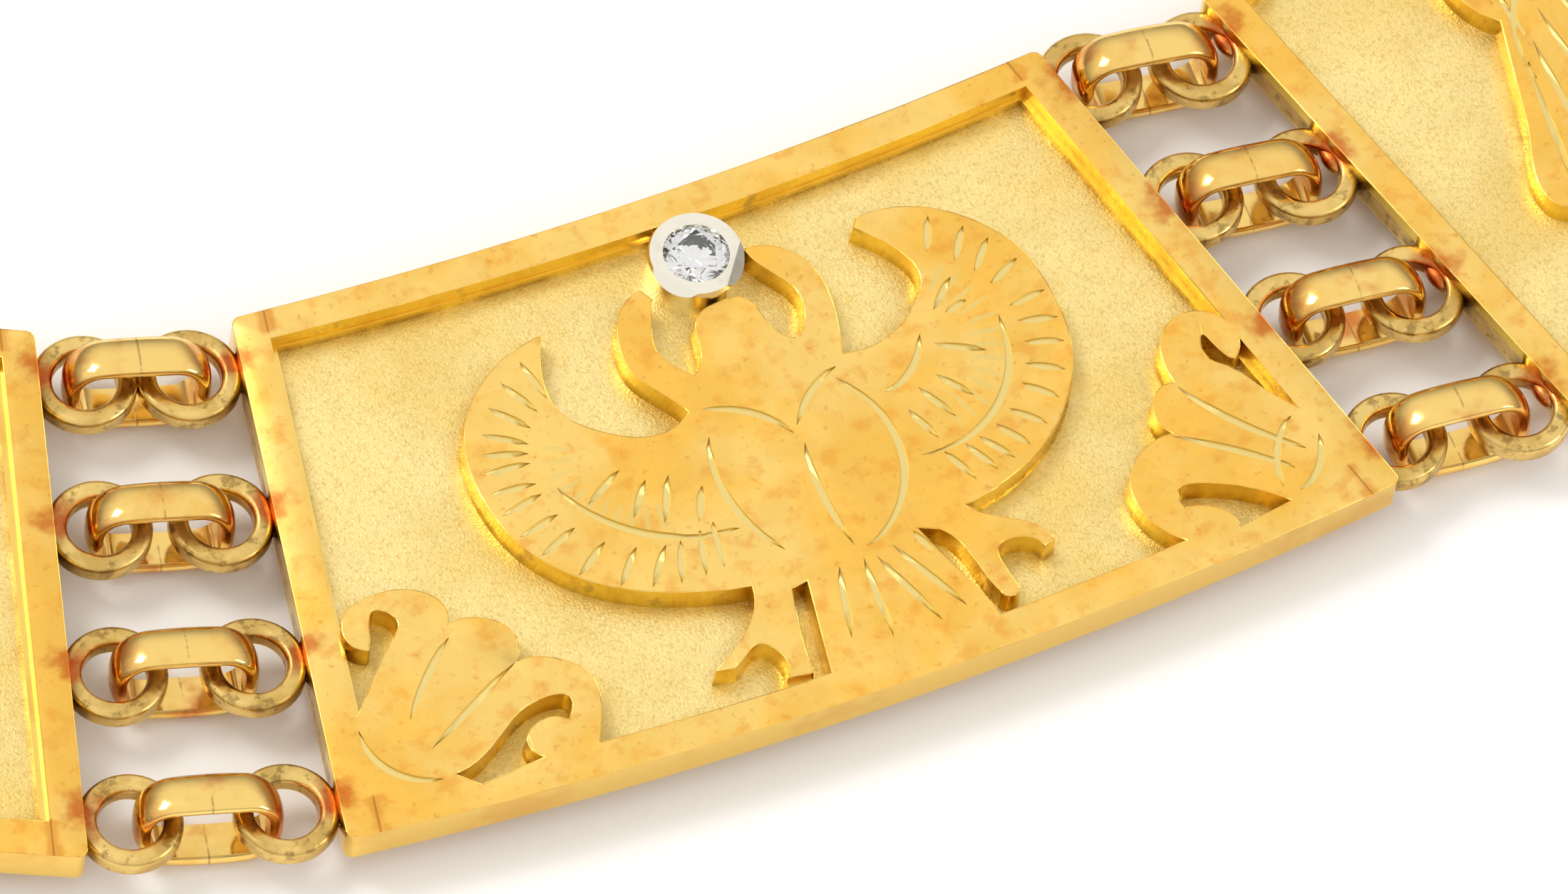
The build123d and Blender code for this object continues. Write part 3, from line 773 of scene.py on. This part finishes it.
def add_solder(sheet, place, middles):
    """A small swell of solder where each ring meets the wall."""
    for x, y in middles:
        side = 1 if x > 0 else -1
        reach = outside_wall(Vector((x, y, 0)) * MM)
        inward = Vector((-side / WALL_STRETCH, -WALL_SLOPE / WALL_STRETCH, 0))
        spot = Vector((x, y, (RING_LOW + RING_HIGH) / 2)) + inward * (reach - SOLDER_SINK)
        turn = Matrix.Rotation(math.atan2(inward.y, inward.x), 4, "Z")
        ball = bmesh.ops.create_icosphere(
            sheet, subdivisions=3, radius=MM,
            matrix=place @ Matrix.Translation(spot * MM) @ turn @ Matrix.Diagonal((*SOLDER_SIZE, 1)),
        )
        for face in {f for v in ball["verts"] for f in v.link_faces}:
            face.material_index = RING


def finish_mesh(name, sheet, finishes):
    """The worked mesh as an object with its finishes, its curves shaded smooth."""
    for face in sheet.faces:
        face.smooth = True
    made = bpy.data.meshes.new(name)
    sheet.to_mesh(made)
    sheet.free()
    if "custom_normal" in made.attributes:
        made.attributes.remove(made.attributes["custom_normal"])
    for finish in finishes:
        made.materials.append(finish)
    ob = bpy.data.objects.new(name, made)
    bpy.context.scene.collection.objects.link(ob)
    return ob


def dress_plaque(name):
    """The plaque's solid with rounded arrises, drafted walls, solder and its finishes."""
    sheet = bmesh.new()
    sheet.from_mesh(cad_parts[name].data)
    bmesh.ops.remove_doubles(sheet, verts=sheet.verts, dist=SAME_PLACE * MM)
    place = own_frame(sheet)
    to_own = place.inverted()
    sort_faces(sheet, to_own)
    middles = ring_middles(sheet, to_own)
    draft_walls(sheet)
    open_grooves(sheet)
    if name in SCARAB_NAMES:
        file_left_edge(sheet, to_own)
    rounded = round_arrises(sheet)
    level = {face for face in sheet.faces if face.material_index in (SATIN, BLASTED, GROOVE)} - rounded
    for edge in sheet.edges:
        on_level = sum(face in level for face in edge.link_faces)
        sharp = edge.calc_face_angle(0) > SHARP_ANGLE
        edge.smooth = not sharp and on_level != 1
    add_ledge(sheet, place)
    if name in SCARAB_NAMES:
        add_foot(sheet, place)
    add_solder(sheet, place, middles)
    own = sheet.loops.layers.uv.new("plaque_place")
    for face in sheet.faces:
        for loop in face.loops:
            spot = to_own @ loop.vert.co
            loop[own].uv = (spot.x / MM, spot.y / MM)
    finishes = scarab_finishes if name in SCARAB_NAMES else falcon_finishes
    ob = finish_mesh(f"dressed_{name}", sheet, finishes)
    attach(ob, "root")
    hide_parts(name)


for name in PLAQUE_NAMES:
    dress_plaque(name)

for name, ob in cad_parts.items():
    ob.data.materials.clear()
    if name.startswith("bezel"):
        ob.data.materials.append(white_finish)
    elif name.startswith("brilliant"):
        ob.data.materials.append(stone_finish)
    elif name.startswith("plaque"):
        ob.data.materials.append(falcon_finishes[SATIN])
    elif name.startswith("clasp"):
        ob.data.materials.append(clasp_finish)
    else:
        ob.data.materials.append(band_finish)


# Band links


def band_section(sheet):
    """A band's cross-section, flat inside and domed outside, as a ring of corners."""
    half = BAND_WIDTH / 2
    corners = [sheet.verts.new(Vector((0, -half + BAND_EDGE / 2, 0)) * MM)]
    corners.append(sheet.verts.new(Vector((0, half - BAND_EDGE / 2, 0)) * MM))
    for step in range(DOME_STEPS + 1):
        around = math.pi * step / DOME_STEPS
        y = half * math.cos(around)
        z = BAND_EDGE + (BAND_THICKNESS - BAND_EDGE) * math.sin(around) ** DOME_FULLNESS
        corners.append(sheet.verts.new(Vector((0, y, z)) * MM))
    return [sheet.edges.new((a, b)) for a, b in zip(corners, corners[1:] + corners[:1])]


def make_band():
    """One band link about its middle: the section is drawn along the straights and turned round the bends."""
    sheet = bmesh.new()
    edges = band_section(sheet)
    inner = LINK_HEIGHT / 2 - BAND_THICKNESS
    straight = LINK_LENGTH / 2 - BEND_RADIUS
    rise = inner + BAND_THICKNESS - BEND_RADIUS
    start = Vector((-straight, 0, inner)) * MM
    bmesh.ops.translate(sheet, verts=sheet.verts, vec=start)
    turns = (
        (Vector((straight, 0, rise)), Vector((1, 0, 0)), 2 * straight),
        (Vector((straight, 0, -rise)), Vector((0, 0, -1)), 2 * rise),
        (Vector((-straight, 0, -rise)), Vector((-1, 0, 0)), 2 * straight),
        (Vector((-straight, 0, rise)), Vector((0, 0, 1)), 2 * rise),
    )
    geometry = edges
    for centre, way, run in turns:
        for _ in range(STRAIGHT_STEPS):
            drawn = bmesh.ops.extrude_edge_only(sheet, edges=geometry)["geom"]
            geometry = [g for g in drawn if isinstance(g, bmesh.types.BMEdge)]
            moved = {v for e in geometry for v in e.verts}
            bmesh.ops.translate(sheet, verts=list(moved), vec=way * run / STRAIGHT_STEPS * MM)
        corners = list({v for e in geometry for v in e.verts})
        spun = bmesh.ops.spin(
            sheet, geom=geometry + corners, cent=centre * MM, axis=Vector((0, 1, 0)),
            angle=math.pi / 2, steps=BEND_STEPS, use_duplicate=False,
        )
        geometry = [g for g in spun["geom_last"] if isinstance(g, bmesh.types.BMEdge)]
    bmesh.ops.remove_doubles(sheet, verts=sheet.verts, dist=0.002 * MM)
    bmesh.ops.recalc_face_normals(sheet, faces=sheet.faces)
    for corner in sheet.verts:
        reach = min(1.0, abs(corner.co.x) / (LINK_LENGTH / 2 * MM))
        corner.co.y *= 1 - BAND_NARROWING * reach**3
        corner.co.z *= 1 - BAND_ARCH * reach**2
    place = sheet.verts.layers.float_vector.new("band_place")
    for corner in sheet.verts:
        corner[place] = corner.co / MM
    made = bpy.data.meshes.new("band")
    sheet.to_mesh(made)
    sheet.free()
    return made


def islands(sheet):
    """The loose solids of a mesh, each as its corners."""
    left = set(sheet.verts)
    found = []
    while left:
        grown = {left.pop()}
        edge = list(grown)
        while edge:
            corner = edge.pop()
            for other in (e.other_vert(corner) for e in corner.link_edges):
                if other in left:
                    left.remove(other)
                    grown.add(other)
                    edge.append(other)
        found.append(grown)
    return found


def band_place(corners):
    """Where a band link lies: its middle, with X along it and its top strap towards the collar's middle."""
    spots = [corner.co for corner in corners]
    low = Vector(min(s[i] for s in spots) for i in range(3))
    high = Vector(max(s[i] for s in spots) for i in range(3))
    middle = (low + high) / 2
    over = sum((s - middle).x * (s - middle).x for s in spots)
    both = sum((s - middle).x * (s - middle).y for s in spots)
    aside = sum((s - middle).y * (s - middle).y for s in spots)
    angle = 0.5 * math.atan2(2 * both, over - aside)
    along = Vector((math.cos(angle), math.sin(angle), 0))
    inward = Vector((-along.y, along.x, 0))
    if inward.dot(-middle) < 0:
        along, inward = -along, -inward
    turned = Matrix((along, inward, Vector((0, 0, 1)))).transposed().to_4x4()
    return Matrix.Translation(middle) @ turned @ Matrix.Rotation(-LINK_LEAN, 4, "X")


band = make_band()


def dress_links(name):
    """The gap's four band links in one piece, each where its solid is."""
    source = bmesh.new()
    source.from_mesh(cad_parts[name].data)
    bmesh.ops.remove_doubles(source, verts=source.verts, dist=SAME_PLACE * MM)
    places = [band_place(corners) for corners in islands(source)]
    source.free()
    sheet = bmesh.new()
    for place in places:
        known = set(sheet.verts)
        sheet.from_mesh(band)
        fresh = [v for v in sheet.verts if v not in known]
        bmesh.ops.transform(sheet, matrix=place, verts=fresh)
    for edge in sheet.edges:
        edge.smooth = edge.calc_face_angle(0) < SHARP_ANGLE
    ob = finish_mesh(f"dressed_{name}", sheet, [band_finish])
    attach(ob, "root")
    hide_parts(name)


for name in LINK_NAMES:
    dress_links(name)


# Studio: sizes in metres, powers in watts; the tent's light near the floor and overhead,
# and the height of view at which it is full
FLOOR_HALF_SIZE = 3.0
TENT_LIGHT = (0.34, 0.98, 0.62)
KEY_PLACE = (-0.35, 0.5, 0.75)
KEY_POWER = 3.2
SIDE_PLACE = (0.5, -0.5, 0.35)
SIDE_POWER = 1.0


def make_floor(size):
    sheet = bmesh.new()
    bmesh.ops.create_grid(sheet, x_segments=1, y_segments=1, size=size)
    made = bpy.data.meshes.new("floor")
    sheet.to_mesh(made)
    sheet.free()
    made.materials.append(paper())
    ob = bpy.data.objects.new("floor", made)
    bpy.context.scene.collection.objects.link(ob)


def softbox(name, place, width, depth, power):
    """A rectangular soft light that looks at the front plaque."""
    data = bpy.data.lights.new(name, "AREA")
    data.shape = "RECTANGLE"
    data.size = width
    data.size_y = depth
    data.energy = power
    ob = bpy.data.objects.new(name, data)
    bpy.context.scene.collection.objects.link(ob)
    ob.location = front_middle + Vector(place)
    ob.rotation_euler = (-Vector(place)).to_track_quat("-Z", "Y").to_euler()


def make_sky(low_light, high_light, full_at):
    """A white tent round the collar, darker towards the floor."""
    world = bpy.data.worlds.new("tent")
    bpy.context.scene.world = world
    world.use_nodes = True
    tree = world.node_tree
    way = add_node(tree, "ShaderNodeTexCoord").outputs["Generated"]
    split = add_node(tree, "ShaderNodeSeparateXYZ")
    tree.links.new(way, split.inputs[0])
    strength = ramp(tree, split.outputs["Z"], 0.0, full_at, low_light, high_light)
    tree.links.new(strength, tree.nodes["Background"].inputs["Strength"])
    tree.nodes["Background"].inputs["Color"].default_value = (1.0, 0.99, 0.975, 1.0)


make_floor(FLOOR_HALF_SIZE)
make_sky(*TENT_LIGHT)
softbox("key", KEY_PLACE, 0.4, 0.3, KEY_POWER)
softbox("side", SIDE_PLACE, 0.2, 0.3, SIDE_POWER)

# Camera
away = Vector(
    (
        -math.sin(CAMERA_AZIMUTH) * math.cos(CAMERA_ELEVATION),
        -math.cos(CAMERA_AZIMUTH) * math.cos(CAMERA_ELEVATION),
        math.sin(CAMERA_ELEVATION),
    )
)
sideways = (-away).cross(Vector((0, 0, 1))).normalized()
upward = sideways.cross(-away)
right = math.cos(CAMERA_ROLL) * sideways + math.sin(CAMERA_ROLL) * upward
up = -math.sin(CAMERA_ROLL) * sideways + math.cos(CAMERA_ROLL) * upward
camera_data = bpy.data.cameras.new("view")
camera_data.lens = LENS_MM
camera_data.sensor_width = SENSOR_MM
camera = bpy.data.objects.new("view", camera_data)
bpy.context.scene.collection.objects.link(camera)
camera.matrix_world = Matrix.Translation(front_middle + LOOK_AT + CAMERA_DISTANCE * away) @ Matrix(
    (right, up, away)
).transposed().to_4x4()
bpy.context.scene.camera = camera
bpy.context.scene.view_settings.view_transform = "Standard"
